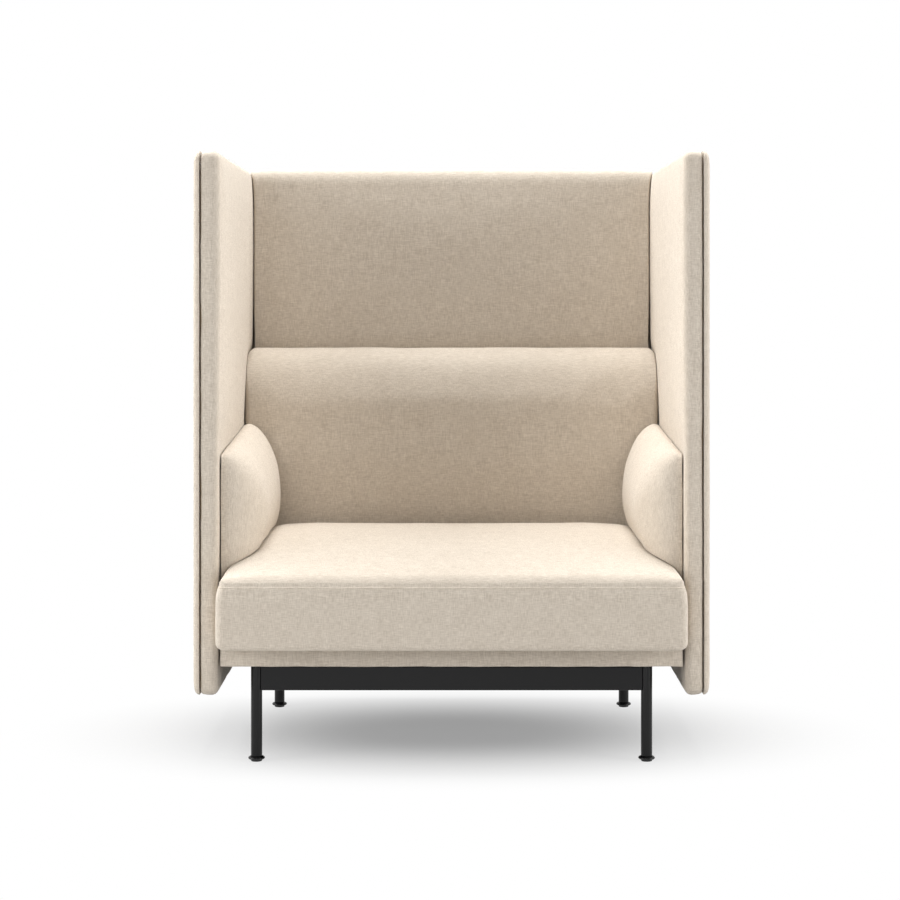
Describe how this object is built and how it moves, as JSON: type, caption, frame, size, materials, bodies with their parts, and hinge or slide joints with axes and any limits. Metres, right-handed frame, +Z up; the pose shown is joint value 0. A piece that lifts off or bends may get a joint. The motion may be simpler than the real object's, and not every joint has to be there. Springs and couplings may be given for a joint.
{
  "type": "acoustic high back lounge chair",
  "caption": "High back acoustic lounge chair with padded side and back screens round a wide seat, arm pads and a steel tube underframe on levelling feet.",
  "frame": {"origin": "on the floor, under the middle of the chair's bounding box", "axes": "+X to the right as seen from the front, +Y from the front of the seat towards the back screen, +Z up"},
  "size_m": [1, 0.75, 1.19],
  "materials": {
    "seat_fabric": "light beige woven melange",
    "black_powder_coat": "black satin powder coat",
    "black_nylon": "black moulded nylon",
    "screen_plywood": "raw birch plywood",
    "base_beech": "planed beech",
    "seat_webbing": "elastic webbing",
    "dust_cloth": "black non-woven cloth",
    "zinc_steel": "bright zinc plate"
  },
  "bodies": {
    "chair": {"seat_cushion": "seat_fabric", "lower_back_cushion": "seat_fabric", "back_screen_pad": "seat_fabric", "back_screen_skin": "seat_fabric", "back_screen_core": "screen_plywood", "base_front_rail": "base_beech", "base_rear_rail": "base_beech", "base_front_cover": "seat_fabric", "base_dust_cloth": "dust_cloth", "front_beam": "black_powder_coat", "rear_beam": "black_powder_coat", "seat_strap_1": "seat_webbing", "seat_strap_2": "seat_webbing", "seat_strap_3": "seat_webbing", "seat_strap_4": "seat_webbing", "left_arm_pad": "seat_fabric", "left_screen_pad": "seat_fabric", "left_screen_skin": "seat_fabric", "left_screen_core": "screen_plywood", "base_left_rail": "base_beech", "base_left_cover": "seat_fabric", "left_bearer": "base_beech", "left_beam": "black_powder_coat", "left_screen_bolt_front": "zinc_steel", "left_screen_bolt_rear": "zinc_steel", "left_corner_bolt_lower": "zinc_steel", "left_corner_bolt_upper": "zinc_steel", "front_left_leg": "black_powder_coat", "front_left_plate": "black_powder_coat", "front_left_plate_bolt": "zinc_steel", "rear_left_leg": "black_powder_coat", "rear_left_plate": "black_powder_coat", "rear_left_plate_bolt": "zinc_steel", "right_arm_pad": "seat_fabric", "right_screen_pad": "seat_fabric", "right_screen_skin": "seat_fabric", "right_screen_core": "screen_plywood", "base_right_rail": "base_beech", "base_right_cover": "seat_fabric", "right_bearer": "base_beech", "right_beam": "black_powder_coat", "right_screen_bolt_front": "zinc_steel", "right_screen_bolt_rear": "zinc_steel", "right_corner_bolt_lower": "zinc_steel", "right_corner_bolt_upper": "zinc_steel", "front_right_leg": "black_powder_coat", "front_right_plate": "black_powder_coat", "front_right_plate_bolt": "zinc_steel", "rear_right_leg": "black_powder_coat", "rear_right_plate": "black_powder_coat", "rear_right_plate_bolt": "zinc_steel"},
    "front_left_glide": {"front_left_glide_pad": "black_nylon"},
    "front_left_foot": {"front_left_levelling_foot": "black_powder_coat"},
    "rear_left_glide": {"rear_left_glide_pad": "black_nylon"},
    "rear_left_foot": {"rear_left_levelling_foot": "black_powder_coat"},
    "front_right_glide": {"front_right_glide_pad": "black_nylon"},
    "front_right_foot": {"front_right_levelling_foot": "black_powder_coat"},
    "rear_right_glide": {"rear_right_glide_pad": "black_nylon"},
    "rear_right_foot": {"rear_right_levelling_foot": "black_powder_coat"}
  },
  "joints": [
    {"name": "front_left_foot_travel", "type": "slide", "parent": "chair", "child": "front_left_glide", "axis": [0, 0, -1], "range_m": [0, 0.01]},
    {"name": "front_left_foot_turn", "type": "hinge", "parent": "front_left_glide", "child": "front_left_foot", "pos_m": [-0.3815, -0.265, 0.01], "axis": [0, 0, 1], "range_deg": [0, 2880]},
    {"name": "rear_left_foot_travel", "type": "slide", "parent": "chair", "child": "rear_left_glide", "axis": [0, 0, -1], "range_m": [0, 0.01]},
    {"name": "rear_left_foot_turn", "type": "hinge", "parent": "rear_left_glide", "child": "rear_left_foot", "pos_m": [-0.3815, 0.263, 0.01], "axis": [0, 0, 1], "range_deg": [0, 2880]},
    {"name": "front_right_foot_travel", "type": "slide", "parent": "chair", "child": "front_right_glide", "axis": [0, 0, -1], "range_m": [0, 0.01]},
    {"name": "front_right_foot_turn", "type": "hinge", "parent": "front_right_glide", "child": "front_right_foot", "pos_m": [0.3815, -0.265, 0.01], "axis": [0, 0, 1], "range_deg": [0, 2880]},
    {"name": "rear_right_foot_travel", "type": "slide", "parent": "chair", "child": "rear_right_glide", "axis": [0, 0, -1], "range_m": [0, 0.01]},
    {"name": "rear_right_foot_turn", "type": "hinge", "parent": "rear_right_glide", "child": "rear_right_foot", "pos_m": [0.3815, 0.263, 0.01], "axis": [0, 0, 1], "range_deg": [0, 2880]}
  ],
  "couplings": [
    {"joint": "front_left_foot_travel", "follows": "front_left_foot_turn", "m_per_rad": 0.00019894},
    {"joint": "rear_left_foot_travel", "follows": "rear_left_foot_turn", "m_per_rad": 0.00019894},
    {"joint": "front_right_foot_travel", "follows": "front_right_foot_turn", "m_per_rad": 0.00019894},
    {"joint": "rear_right_foot_travel", "follows": "rear_right_foot_turn", "m_per_rad": 0.00019894}
  ]
}
